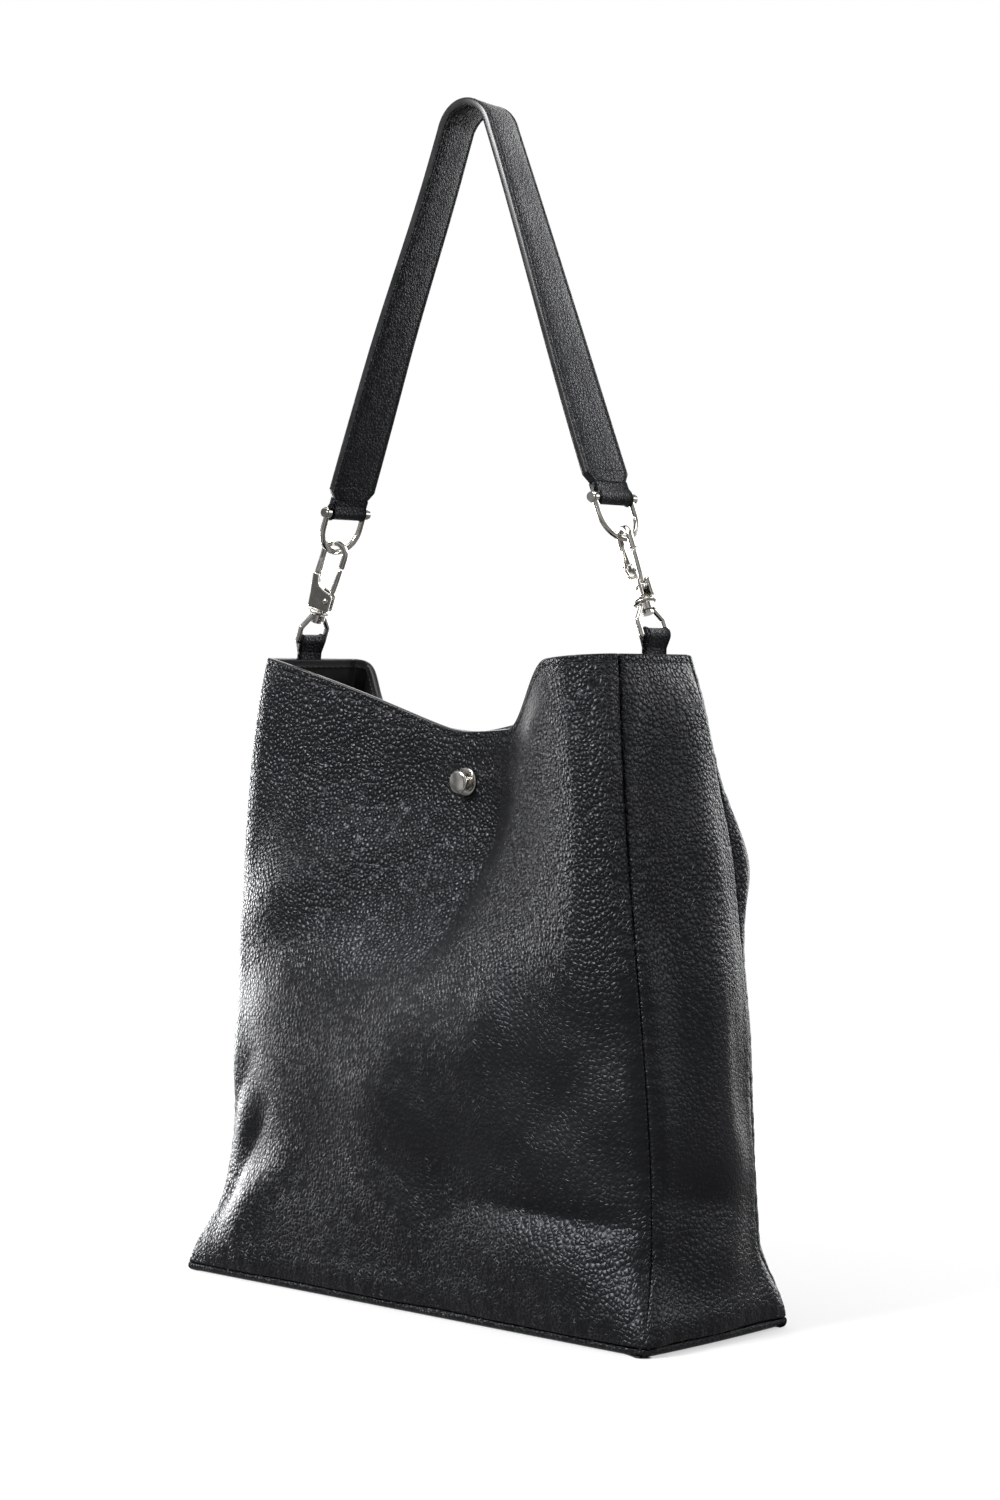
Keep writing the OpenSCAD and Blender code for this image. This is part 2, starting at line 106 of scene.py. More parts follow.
def threads(name, centre, along, out, length, radius, material, body):
    """Stitches: one small round-ended thread at each centre."""
    across = np.cross(along, out)
    rings, sides = 6, 8
    t = np.linspace(-1, 1, rings)
    a = np.linspace(0, 2 * np.pi, sides, endpoint=False)
    fat = radius * np.sqrt(np.clip(1 - np.abs(t) ** 5, 0.02, 1))
    verts = (centre[:, None, None]
             + along[:, None, None] * (t * length / 2)[None, :, None, None]
             + out[:, None, None] * ((fat[:, None] * np.cos(a))[None, :, :, None]
                                     - 0.35 * radius * (np.abs(t) ** 4)[None, :, None, None])
             + across[:, None, None] * (fat[:, None] * np.sin(a))[None, :, :, None])
    per = rings * sides
    one = np.array(quads(rings, sides, wrap_cols=True))
    faces = (one[None] + per * np.arange(len(centre))[:, None, None]).reshape(-1, 4).tolist()
    for i in range(len(centre)):
        faces.append([i * per + k for k in range(sides)][::-1])
        faces.append([i * per + per - sides + k for k in range(sides)])
    return make(name, verts.reshape(-1, 3), faces, material, body)


def lathe(name, profile, origin, axis, material, body, sides=64, ring=False):
    """A turned part: profile is (radius, distance along the axis) from start to end, or a closed ring."""
    axis = unit(np.asarray(axis, float))
    side = unit(np.cross(axis, [0.21, 0.37, 0.9]))
    other = np.cross(axis, side)
    a = np.linspace(0, 2 * np.pi, sides, endpoint=False)
    p = np.asarray(profile, float)
    verts = (np.asarray(origin, float) + p[:, None, 1:2] * axis
             + p[:, None, 0:1] * (np.cos(a)[:, None] * side + np.sin(a)[:, None] * other))
    faces = quads(len(p), sides, wrap_rows=True, wrap_cols=True) if ring else tube_faces(len(p), sides)
    return make(name, verts.reshape(-1, 3), faces, material, body)


def round_profile(points, r, steps=4):
    """Rounds the corners of an open profile of (radius, height) points."""
    p = [np.array(q, float) for q in points]
    out = [p[0]]
    for a, b, c in zip(p, p[1:], p[2:]):
        k = min(r, np.linalg.norm(a - b) / 2, np.linalg.norm(c - b) / 2)
        q0, q1 = b + unit(a - b) * k, b + unit(c - b) * k
        for t in np.linspace(0, 1, steps):
            out.append((1 - t) ** 2 * q0 + 2 * t * (1 - t) * b + t * t * q1)
    return out + [p[-1]]


# ---------------------------------------------------------------- materials

COOL = (1.0, 1.02, 1.12)  # the faint blue of the black leather
WEAVE_PITCH = 0.6


def graph(name):
    """A new material, its node tree and its shader."""
    m = bpy.data.materials.new(name)
    m.use_nodes = True
    t = m.node_tree
    return m, t, t.nodes["Principled BSDF"]


def node(tree, kind, **values):
    """A new node with its inputs or settings given by name."""
    n = tree.nodes.new(kind)
    for key, value in values.items():
        if key in n.inputs:
            n.inputs[key].default_value = value
        else:
            setattr(n, key, value)
    return n


def ramp(tree, source, stops):
    """A colour ramp over a value; a stop is (position, grey or colour)."""
    r = tree.nodes.new("ShaderNodeValToRGB")
    e = r.color_ramp.elements
    while len(e) < len(stops):
        e.new(0.5)
    for k, (at, value) in enumerate(stops):
        e[k].position = at
        e[k].color = value if isinstance(value, tuple) else (value, value, value, 1)
    tree.links.new(source, r.inputs["Fac"])
    return r.outputs["Color"]


def math_node(tree, operation, a, b=0.0, c=None):
    n = tree.nodes.new("ShaderNodeMath")
    n.operation = operation
    for k, value in enumerate((a, b) if c is None else (a, b, c)):
        if isinstance(value, (int, float)):
            n.inputs[k].default_value = value
        else:
            tree.links.new(value, n.inputs[k])
    return n.outputs[0]


def noise(tree, at, **values):
    """A noise texture at the given coordinates."""
    n = node(tree, "ShaderNodeTexNoise", **values)
    tree.links.new(at, n.inputs["Vector"])
    return n


def add_bump(tree, shader, height, strength, distance):
    bump = node(tree, "ShaderNodeBump", Strength=strength, Distance=distance)
    tree.links.new(height, bump.inputs["Height"])
    tree.links.new(bump.outputs["Normal"], shader.inputs["Normal"])


def leather(name, tone, pebble, depth, rough, stretch=None):
    """Leather with a pebbled grain: rounded cells with fine creases between them.

    pebble is a cell's size in mm, depth scales its height, and stretch fades the grain by height above the floor,
    where the leather is pulled smooth.
    """
    m, t, shader = graph(name)
    link = t.links.new
    at = t.nodes.new("ShaderNodeTexCoord").outputs["Object"]
    wobble = noise(t, at, Scale=330.0, Detail=2.0)
    push = node(t, "ShaderNodeVectorMath", operation="SCALE")
    link(wobble.outputs["Color"], push.inputs[0])
    push.inputs["Scale"].default_value = 0.0003 * pebble
    moved = node(t, "ShaderNodeVectorMath", operation="ADD")
    link(at, moved.inputs[0])
    link(push.outputs[0], moved.inputs[1])
    cells = node(t, "ShaderNodeTexVoronoi", feature="SMOOTH_F1", Scale=1000.0 / pebble, Smoothness=0.35)
    link(moved.outputs[0], cells.inputs["Vector"])
    crease = node(t, "ShaderNodeTexVoronoi", feature="DISTANCE_TO_EDGE", Scale=1000.0 / pebble)
    link(moved.outputs[0], crease.inputs["Vector"])
    fine = noise(t, at, Scale=2600.0, Detail=3.0, Roughness=0.6)
    broad = noise(t, at, Scale=26.0, Detail=3.0)
    patch = noise(t, at, Scale=110.0, Detail=2.0)
    dome = ramp(t, cells.outputs["Distance"], [(0.0, 1.0), (0.35, 0.82), (0.8, 0.15)])
    groove = ramp(t, crease.outputs["Distance"], [(0.0, 0.0), (0.12, 0.75), (0.3, 1.0)])
    height = math_node(t, "MULTIPLY", dome, groove)
    height = math_node(t, "MULTIPLY", height, ramp(t, patch.outputs["Fac"], [(0.3, 0.65), (0.7, 1.0)]))
    if stretch:
        level = node(t, "ShaderNodeSeparateXYZ")
        link(at, level.inputs[0])
        up = math_node(t, "MULTIPLY", level.outputs["Z"], 2.94)
        up = math_node(t, "MULTIPLY_ADD", broad.outputs["Fac"], 0.25, up)
        height = math_node(t, "MULTIPLY", height, ramp(t, up, stretch))
    height = math_node(t, "MULTIPLY_ADD", fine.outputs["Fac"], 0.03, height)
    add_bump(t, shader, height, 1.0, 0.00022 * depth * pebble)
    low = tuple(0.35 * tone * k for k in COOL) + (1,)
    mid = tuple(tone * k for k in COOL) + (1,)
    high = tuple(1.5 * tone * k for k in COOL) + (1,)
    # Colour: a random tone from broad noise, plus painted shade that darkens the creases between pebbles and a
    # painted highlight that lightens their tops, both following the grain's height.
    shade = math_node(t, "MULTIPLY_ADD", broad.outputs["Fac"], 0.35, math_node(t, "MULTIPLY", height, 0.7))
    link(ramp(t, shade, [(0.08, low), (0.5, mid), (0.95, high)]), shader.inputs["Base Color"])
    wear = math_node(t, "MULTIPLY_ADD", height, -0.35, broad.outputs["Fac"])
    link(ramp(t, wear, [(0.0, rough[0]), (0.7, rough[1])]), shader.inputs["Roughness"])
    shader.inputs["Specular IOR Level"].default_value = 0.4
    shader.inputs["Specular Tint"].default_value = (0.88, 0.92, 1.0, 1)
    return m


def smooth_leather(name, tone, rough, grain):
    """Smooth or edge-painted leather with a faint fine grain."""
    m, t, shader = graph(name)
    link = t.links.new
    at = t.nodes.new("ShaderNodeTexCoord").outputs["Object"]
    fine = noise(t, at, Scale=1500.0, Detail=4.0)
    broad = noise(t, at, Scale=60.0, Detail=3.0)
    add_bump(t, shader, fine.outputs["Fac"], grain, 0.00012)
    dark, light = (0.7 * tone, 0.71 * tone, 0.77 * tone, 1), (1.3 * tone, 1.32 * tone, 1.42 * tone, 1)
    link(ramp(t, broad.outputs["Fac"], [(0.3, dark), (0.7, light)]), shader.inputs["Base Color"])
    gloss = ramp(t, broad.outputs["Fac"], [(0.3, rough - 0.06), (0.7, rough + 0.08)])
    link(gloss, shader.inputs["Roughness"])
    return m


def woven(name, tone):
    """Plain-woven lining cloth."""
    m, t, shader = graph(name)
    link = t.links.new
    at = t.nodes.new("ShaderNodeTexCoord").outputs["Object"]
    parts = node(t, "ShaderNodeSeparateXYZ")
    link(at, parts.inputs[0])
    k = 2 * math.pi / (WEAVE_PITCH * MM)
    across = math_node(t, "ADD", parts.outputs["X"], parts.outputs["Y"])
    a = math_node(t, "SINE", math_node(t, "MULTIPLY", across, k))
    b = math_node(t, "SINE", math_node(t, "MULTIPLY", parts.outputs["Z"], k))
    weave = math_node(t, "MULTIPLY_ADD", math_node(t, "MULTIPLY", a, b), 0.5, 0.5)
    broad = noise(t, at, Scale=70.0, Detail=4.0)
    tone_at = math_node(t, "MULTIPLY_ADD", weave, 0.4, broad.outputs["Fac"])
    link(ramp(t, tone_at, [(0.3, 0.5 * tone), (1.0, 1.5 * tone)]), shader.inputs["Base Color"])
    add_bump(t, shader, weave, 0.7, 0.00012)
    shader.inputs["Roughness"].default_value = 0.85
    shader.inputs["Sheen Weight"].default_value = 0.2
    return m


def polished(name, colour, rough):
    """Plated metal, with faint polishing marks and cloudiness."""
    m, t, shader = graph(name)
    link = t.links.new
    at = t.nodes.new("ShaderNodeTexCoord").outputs["Object"]
    cloud = noise(t, at, Scale=240.0, Detail=4.0)
    fine = noise(t, at, Scale=3000.0, Detail=2.0)
    link(ramp(t, cloud.outputs["Fac"], [(0.3, 0.6 * rough), (0.75, 1.7 * rough)]), shader.inputs["Roughness"])
    dull, bright = tuple(0.86 * c for c in colour) + (1,), tuple(colour) + (1,)
    link(ramp(t, cloud.outputs["Fac"], [(0.25, dull), (0.7, bright)]), shader.inputs["Base Color"])
    add_bump(t, shader, fine.outputs["Fac"], 0.12, 0.00005)
    shader.inputs["Metallic"].default_value = 1.0
    return m


def thread_material(name, tone):
    """Twisted sewing thread."""
    m, t, shader = graph(name)
    link = t.links.new
    at = t.nodes.new("ShaderNodeTexCoord").outputs["Object"]
    twist = node(t, "ShaderNodeTexWave", Scale=900.0, Distortion=1.5)
    link(at, twist.inputs["Vector"])
    add_bump(t, shader, twist.outputs["Fac"], 0.5, 0.0001)
    link(ramp(t, twist.outputs["Fac"], [(0.2, 0.7 * tone), (0.8, 1.3 * tone)]), shader.inputs["Base Color"])
    shader.inputs["Roughness"].default_value = 0.5
    return m


PANEL = leather("pebbled_leather", 0.008, pebble=2.5, depth=1.5, rough=(0.3, 0.42),
                stretch=[(0.28, 0.55), (0.4, 0.25), (0.6, 0.3), (0.76, 1.1)])
STRAP = leather("strap_leather", 0.007, pebble=1.9, depth=1.0, rough=(0.38, 0.55))
FACING = smooth_leather("facing_leather", 0.014, 0.5, 0.6)
EDGE = smooth_leather("edge_paint", 0.011, 0.3, 0.25)
LINING = woven("lining_cloth", 0.022)
THREAD = thread_material("sewing_thread", 0.02)
NICKEL = polished("polished_nickel", (0.80, 0.775, 0.73), 0.13)
STEEL = polished("spring_steel", (0.5, 0.5, 0.5), 0.35)
BOARD = smooth_leather("board", 0.1, 0.8, 0.8)

# ---------------------------------------------------------------- the bag's shape, as in the CAD

BASE_W, BASE_D, SIDE_H, MID_H, MOUTH_W, MOUTH_D = 340.0, 112.0, 340.0, 300.0, 256.0, 54.0
LEATHER, FOOT, PINCH_Y = 1.8, 5.0, 5.0
MOUTH_ROW = 3.6  # how far the mouth's row of stitches lies below its edge
FRONT, RIGHT, BACK, LEFT = range(4)
WIDE = (FRONT, BACK)
# By corner seam: front right, back right, back left, front left.
SEAM_X = [(-8, -8, -20, 12, 0), (-10, -16, -22, 18, -1), (-8, -18, -22, 14, 0), (-10, -14, -18, 22, 3)]
SEAM_Y = [(-11, 32, 40, 38, 0), (-11, 42, 52, 40, 0), (-11, 36, 38, 38, 3), (-11, 19, 31, 36, 3)]
WAY = [(1, -1), (1, 1), (-1, 1), (-1, -1)]
DRAW_IN = (0.42, 0.45, 0.3, 0.42)
MID_IN = (0.42, 0.375, 0.375, 0.42)
DRAWN = (0.88, 0.82, 0.82, 0.88)
FALL = (1, 0.9, 1, 1.25)
LOBE = [(0.8, 0.3, 0.74), (0, 0, 1), (0.5, 0.72, 1), (0, 0, 1)]
BELLY = [(16, 62, 60), (28, 70, 60), (14, 62, 62), (16, 55, 60)]
HUMP = (0, 34, 0, 0)
MOUTH = [((0.99, 53), (0.74, 73), (0.48, 5)), ((0.93, 47), (0.74, 58), (0.4, 5)),
         ((0.95, 56), (0.9, 36), (0.62, 4)), ((0.86, 35), (0.62, 26), (0.35, 6))]


def bezier(points, t):
    """A curve of five control points."""
    return sum(w * (1 - t) ** (4 - k) * t ** k * p for k, (w, p) in enumerate(zip((1, 4, 6, 4, 1), points)))


def flare(v, reach):
    """How much of the foot's outward flare is left at a height."""
    return 1 - smooth(v / reach)


def corner(c, v):
    """Distance of one corner seam from the middle planes of the width and the depth."""
    half_w, half_d = BASE_W / 2, BASE_D / 2
    x, y = SEAM_X[c], SEAM_Y[c]
    low, high = (half_w, half_w, half_w), (MOUTH_W / 2, MOUTH_W / 2)
    px = bezier([a + b for a, b in zip(low + high, x)], v) + 8 * flare(v, 0.12)
    py = bezier([half_d + y[0], y[1], y[2], y[3], MOUTH_D / 2 + y[4]], v) + 11 * flare(v, 0.12)
    return px, py


def swell(v):
    """How far a gusset's middle stands out."""
    return 1.5 + 8.5 * np.sin(np.pi * v ** 0.7)


def quarter_plan(c, s, v):
    """Plan position on a quarter of the front or back, from its outline of five control points."""
    x, y = corner(c, v)
    d = BASE_D / 2
    b1, b2, b3 = BELLY[c]
    base = [(x, y), (x - 4, d), (x * 0.66, d), (x * 0.33, d), (0, d)]
    belly = [(x, y), (x - 18, y + b1), (x * 0.66, b2), (x * 0.33, b3), (0, 60)]
    mouth = [(x, y)] + [(x * m[0], m[1]) for m in MOUTH[c]] + [(0, PINCH_Y)]
    a = smooth(v / 0.2)
    own, middle = [smooth((v - from_v) / (DRAWN[c] - from_v)) for from_v in (DRAW_IN[c], MID_IN[c])]
    b = [own, own, own, middle, middle]
    control = [[(base[k][i] * (1 - a) + belly[k][i] * a) * (1 - b[k]) + mouth[k][i] * b[k] for k in range(5)]
               for i in (0, 1)]
    hump = HUMP[c] * np.exp(-(((v - 0.69) / 0.1) ** 2))
    control[0][1], control[1][1] = control[0][1] + 0.4 * hump, control[1][1] + hump
    t = 1 - np.abs(s)
    return WAY[c][0] * bezier(control[0], t), WAY[c][1] * bezier(control[1], t)


def plan(panel, s, v):
    """Plan position on a panel: s runs from -1 to 1 across it, and v from 0 to 1 up it."""
    before = (panel + 3) % 4
    if panel in WIDE:
        right, left = quarter_plan(panel, s, v), quarter_plan(before, s, v)
        return tuple(np.where(s >= 0, r, q) for r, q in zip(right, left))
    (ax, ay), (bx, by) = corner(before, v), corner(panel, v)
    t = (s + 1) / 2
    side = 1 if panel == RIGHT else -1
    x = WAY[before][0] * ax * (1 - t) + WAY[panel][0] * bx * t + side * swell(v) * (1 - s * s)
    return x, WAY[before][1] * ay * (1 - t) + WAY[panel][1] * by * t


def mouth_z(panel, s):
    """Height of the mouth's edge: highest at the corners, lowest at the pinched middles."""
    if panel in (LEFT, RIGHT):
        return SIDE_H + 0 * s
    one = np.ones_like(s)
    x = np.abs(plan(panel, s, one)[0])
    soft = 0.15
    heights = []
    for c in (panel, (panel + 3) % 4):
        q = np.minimum(1, x / corner(c, 1.0)[0])
        t = (np.hypot(q, soft) - soft) / (math.hypot(1, soft) - soft)
        share, low, high = LOBE[c]
        rise = share * smooth((q - low) / (high - low)) + (1 - share) * (1 - (1 - t) ** FALL[c])
        heights.append(MID_H + (SIDE_H - MID_H) * rise)
    return np.where(s >= 0, *heights)


def plain_wall(panel, s, v):
    """Points of the wall without its folds."""
    x, y = plan(panel, s, v)
    return np.stack([x, y, FOOT + v * (mouth_z(panel, s) - FOOT)], -1)


def fold(x, z, x0, z0, x1, z1, width, height, sharp=2.0):
    """A ridge (or, if negative, a valley) along a line from one point of the wall to another."""
    dx, dz = x1 - x0, z1 - z0
    t = np.clip(((x - x0) * dx + (z - z0) * dz) / (dx * dx + dz * dz), 0, 1)
    d = np.hypot(x - x0 - t * dx, z - z0 - t * dz)
    return height * np.sin(np.pi * (0.12 + 0.76 * t)) * np.exp(-((d / width) ** sharp))


# Folds by panel: from (along, up) to (along, up), width, height, sharpness. Along is x, or y on a gusset.
FOLDS = {
    FRONT: [
        (26, 274, 5, 186, 9, -4.5, 1.8), (90, 322, 24, 178, 17, 4.5, 2), (76, 240, 88, 140, 24, -4.0, 2),
        (120, 330, 134, 180, 20, 2.5, 2), (-160, 185, -124, 30, 15, 4.5, 2),
        (48, 64, 158, 60, 7, -3.2, 1.6), (58, 40, 152, 36, 18, 4.5, 2), (-20, 292, -58, 236, 16, -2.5, 2),
        (-14, 258, -150, 192, 18, 4.2, 2), (-30, 222, -140, 168, 20, -3.0, 2),
        (-150, 30, -112, 92, 8, -3.2, 1.7), (-158, 70, -128, 118, 9, -2.6, 1.7),
        (-140, 22, -92, 70, 10, 2.4, 2), (-60, 120, -20, 230, 34, -4.0, 2), (20, 30, 44, 110, 16, -2.0, 2),
        (92, 96, 128, 140, 14, -2.2, 2),
    ],
    BACK: [
        (-34, 292, -62, 190, 17, -5.0, 2), (-70, 250, -96, 150, 26, -5.0, 2), (30, 290, 70, 200, 20, -4.5, 2),
        (60, 70, 150, 84, 8, -2.8, 1.7), (-150, 60, -60, 48, 8, -2.8, 1.7), (-140, 34, -70, 28, 16, 3.6, 2),
        (20, 120, 60, 220, 30, 3.0, 2), (-20, 60, -10, 160, 26, -2.6, 2),
    ],
    RIGHT: [
        (16, 350, 8, 50, 19, 7.0, 2), (-20, 300, -18, 150, 12, -2.2, 2), (-30, 74, 26, 66, 9, -2.2, 1.8),
        (-30, 42, 30, 38, 14, 3.0, 2), (14, 220, 20, 110, 9, -1.8, 2), (-34, 26, -18, 60, 7, -1.8, 1.8),
    ],
    LEFT: [
        (-2, 330, 2, 120, 10, 3.0, 2), (-40, 140, -42, 40, 14, 4.5, 2), (-20, 90, 26, 84, 9, -2.2, 1.8),
        (16, 300, 14, 180, 8, -1.6, 2),
    ],
}
rng = np.random.default_rng(7)
WAVES = [(rng.uniform(-1, 1, 3), rng.uniform(0, 6.28), rng.uniform(34, 95)) for _ in range(14)]


def seam_distance(panel, s, v):
    """Roughly how far along the wall the nearer side seam is."""
    k = np.where(s < 0, -1.0, 1.0)
    near, edge = plain_wall(panel, k * 0.97, v), plain_wall(panel, k, v)
    return np.linalg.norm(near - edge, axis=-1) / 0.03 * (1 - np.abs(s))


def relief(panel, s, v, p):
    """How far the leather stands out from the plain wall."""
    along = p[..., 0] if panel in WIDE else p[..., 1]
    z = p[..., 2]
    out = 0
    for x0, z0, x1, z1, width, height, sharp in FOLDS[panel]:
        out = out + fold(along, z, x0, z0, x1, z1, width, height, sharp)
    for direction, phase, wave in WAVES:
        out = out + 0.22 * np.sin(p @ (unit(direction) * 2 * np.pi / wave) + phase)
    # The mouth's edge, its facing and the pinched middle hold their shape.
    top = mouth_z(panel, s) - z
    out = out * smooth(top / 26)
    if panel in WIDE:
        out = out * (1 - 0.9 * np.exp(-((p[..., 0] / 24) ** 2) - (((z - 274) / 24) ** 2)))
    dist = seam_distance(panel, s, v)
    out = out * smooth(dist / (16 if panel in WIDE else 9))
    phase = 1.7 * panel + np.where(s < 0, 2.1, 0)
    pucker = np.sin(z * 0.62 + phase) + 0.7 * np.sin(z * 0.93 + 2 * phase) + 0.5 * np.sin(z * 0.27 + phase)
    out = out + 0.14 * pucker * np.exp(-np.abs(dist - 4) / 7) * smooth(top / 14)
    out = out + 1.1 * np.exp(-(((dist - 8) / 6) ** 2)) * smooth(top / 20)
    base = z - FOOT
    pucker = np.sin(along * 0.5 + phase) + 0.7 * np.sin(along * 0.83 + 2) + 0.5 * np.sin(along * 0.21)
    out = out + 0.16 * pucker * np.exp(-np.abs(base - 5) / 8) * smooth(dist / 10)
    out = out + 1.3 * np.exp(-(((base - 9) / 8) ** 2)) * smooth(dist / 12)
    # Turned seams: the leather rolls in at each side and at the base.
    for d, r in ((dist, 2.6), (base, 1.0)):
        k = np.clip(r - d, 0, r)
        out = out - (r - np.sqrt(r * r - k * k))
    # A row of stitches pulls the leather in below the mouth's edge.
    return out - 0.3 * np.exp(-(((top - MOUTH_ROW) / 0.7) ** 2))


def facing_out(panel, s, v):
    """The plain wall's outward direction."""
    h = 1e-3
    a = plain_wall(panel, np.clip(s + h, -1, 1), v) - plain_wall(panel, np.clip(s - h, -1, 1), v)
    b = plain_wall(panel, s, np.clip(v + h, 0, 1)) - plain_wall(panel, s, np.clip(v - h, 0, 1))
    return unit(np.cross(a, b))


def wall(panel, s, v, inset=0.0):
    """Points of the wall with its folds, moved inwards by inset."""
    s, v = np.broadcast_arrays(np.asarray(s, float), np.asarray(v, float))
    p = plain_wall(panel, s, v)
    n = facing_out(panel, s, v)
    return p + n * (relief(panel, s, v, p) - inset)[..., None]


def spread(count, length, ends):
    """Positions from 0 to 1: evenly spaced, with finer steps at each end given in millimetres."""
    fine = np.array(ends) / length
    return np.concatenate([fine, np.linspace(fine[-1], 1 - fine[-1], count)[1:-1], 1 - fine[::-1]])


SEAM_STEPS = (0, 0.15, 0.45, 0.9, 1.5, 2.2, 3.0, 4.0)
ROW_STEPS = (0, 0.5, 1.2, 2.0, 2.7, 3.1, 3.6, 4.1, 4.6, 5.6)


def facing_inner(panel):
    """Inset of the facing's inner side from the wall."""
    return LEATHER + (1.5 if panel in WIDE else 2.7)


def shell(name, panel, material, v0, v1, outer, inner, cols, rows, body="bag"):
    """A closed leather sheet of one panel between two insets."""
    length = 340 if panel in WIDE else 90
    s = spread(cols, length, SEAM_STEPS) * 2 - 1
    v = v0 + (v1 - v0) * spread(rows, 335 * (v1 - v0), ROW_STEPS)
    sheets = [wall(panel, s[None, :], v[:, None], inset) for inset in (outer, inner)]
    n, m = len(v), len(s)
    verts = np.concatenate([q.reshape(-1, 3) for q in sheets])
    faces = quads(n, m) + [f[::-1] for f in quads(n, m, start=n * m)]
    rim = ([(0, i) for i in range(m - 1)] + [(j, m - 1) for j in range(n - 1)]
           + [(n - 1, i) for i in range(m - 1, 0, -1)] + [(j, 0) for j in range(n - 1, 0, -1)])
    for a, b in zip(rim, rim[1:] + rim[:1]):
        p, q = a[0] * m + a[1], b[0] * m + b[1]
        faces.append([q, p, p + n * m, q + n * m])
    return make(name, verts, faces, material, body)


panel_names = {FRONT: "front", RIGHT: "right", BACK: "back", LEFT: "left"}
for panel, side in panel_names.items():
    wide = panel in WIDE
    cad_node = f"{side}_panel" if wide else f"{side}_gusset"
    piece = shell(cad_node + "_leather", panel, PANEL, 0, 1, 0, LEATHER, 190 if wide else 60, 170)
    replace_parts(piece, cad_node)
    piece = shell(side + "_facing_leather", panel, FACING, 0.86, 1, LEATHER + 0.15,
                  facing_inner(panel), 120 if wide else 40, 24)
    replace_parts(piece, side + "_facing")
    piece = shell(side + "_lining_cloth", panel, LINING, 0.012, 0.858, LEATHER + 0.6, LEATHER + 1.1,
                  120 if wide else 40, 90)
    if wide:
        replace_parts(piece, side + "_lining")
    elif panel == RIGHT:
        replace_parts(piece, "side_linings")


def mouth_edge(panel):
    """The painted edge along one panel's mouth."""
    s = np.linspace(-1, 1, 260 if panel in WIDE else 60)
    a = np.linspace(0, 2 * np.pi, 18, endpoint=False)
    one = np.ones_like(s)
    outer, inner = wall(panel, s, one), wall(panel, s, one, facing_inner(panel))
    centre, across = (outer + inner) / 2, (outer - inner) / 2
    up = np.array([0, 0, 1.0])
    ring = (centre[:, None] + (1.06 * np.cos(a))[None, :, None] * across[:, None]
            + (np.where(np.sin(a) > 0, 0.75, 0.5) * np.sin(a))[None, :, None] * up)
    piece = make(panel_names[panel] + "_mouth_edge", ring.reshape(-1, 3), tube_faces(len(s), len(a)), EDGE)


def mouth_stitches(panel, inside):
    """Thread below the mouth's edge, on the outside or on the facing."""
    fine = np.linspace(-1, 1, 1200)
    v = 1 - MOUTH_ROW / (mouth_z(panel, fine) - FOOT)
    inset = facing_inner(panel) if inside else 0.0
    line = wall(panel, fine, v, inset)
    run = np.concatenate([[0], np.cumsum(np.linalg.norm(np.diff(line, axis=0), axis=1))])
    pitch = 4.0
    at = np.arange(pitch, run[-1] - pitch / 2, pitch)
    centre = np.stack([np.interp(at, run, line[:, k]) for k in range(3)], 1)
    ahead = np.stack([np.interp(at + 1, run, line[:, k]) for k in range(3)], 1)
    s = np.interp(at, run, fine)
    out = facing_out(panel, s, np.interp(at, run, v)) * (-1 if inside else 1)
    piece = threads(f"{panel_names[panel]}_mouth_thread_{'in' if inside else 'out'}", centre + out * 0.05,
                    unit(ahead - centre), out, 3.1, 0.3, THREAD, "bag")


for panel in panel_names:
    mouth_edge(panel)
    mouth_stitches(panel, False)
    mouth_stitches(panel, True)


def base_loop(inset, z):
    """The base's outline as seen from above, at one height."""
    loop = []
    for panel in panel_names:
        s = np.linspace(-1, 1, 120 if panel in WIDE else 50)[:-1]
        p = plain_wall(panel, s, 0 * s)
        n = facing_out(panel, s, 0 * s)
        loop.append(np.stack([*(p - n * inset)[:, :2].T, 0 * s + z], 1))
    return np.concatenate(loop)


def base_piece(name, levels, material):
    """A closed piece of the base from (inset, height) sections, from under its middle round to its upper side."""
    loops = [base_loop(*level) for level in levels]
    return make(name, np.concatenate(loops), tube_faces(len(loops), len(loops[0])), material)


base = base_piece("base_panel_leather", [
    (6.0, 0.0), (3.0, 0.2), (1.8, 0.7), (1.0, 1.5), (0.6, 2.4), (0.6, 3.2), (0.9, 4.0), (1.4, 4.5), (2.1, 4.8),
    (3.2, 4.6)], PANEL)
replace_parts(base, "base_panel")

base = base_piece("base_lining_cloth", [
    (9.0, 4.4), (3.6, 4.4), (3.3, 4.6), (3.3, 4.8), (3.6, 5.0), (6.0, 5.1), (14.0, 5.3), (30.0, 5.4)], LINING)
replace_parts(base, "base_lining")

# ---------------------------------------------------------------- the chain of tab, eye, hook and shackle

LEAN = math.radians(22.4)
TAB_X, TAB_Z, TAB_W = 127.1, 350.0, 15.0
EYE_BAR_R, PIN_R = 1.7, 1.7  # the bars that the tabs and the strap's ends are folded round
PIN_L = 75.3
SIDES = {"left": -1, "right": 1}
TURN = {"left": math.radians(25), "right": math.radians(-25)}


def in_chain(side, points, turn=0.0):
    """Points given across, through and along a side's chain, in the bag's frame."""
    k = SIDES[side]
    p = np.asarray(points, float)
    x = p[..., 0] * math.cos(turn) - p[..., 1] * math.sin(turn)
    y = p[..., 0] * math.sin(turn) + p[..., 1] * math.cos(turn)
    z = p[..., 2]
    return np.stack([k * TAB_X + x * math.cos(LEAN) - k * z * math.sin(LEAN), y,
                     TAB_Z + k * x * math.sin(LEAN) + z * math.cos(LEAN)], -1)


def offset_outline(p, d):
    """A closed outline moved inwards by d."""
    t = unit(np.roll(p, -1, 0) - np.roll(p, 1, 0))
    n = np.stack([-t[:, 1], t[:, 0]], 1)
    return p + n * d


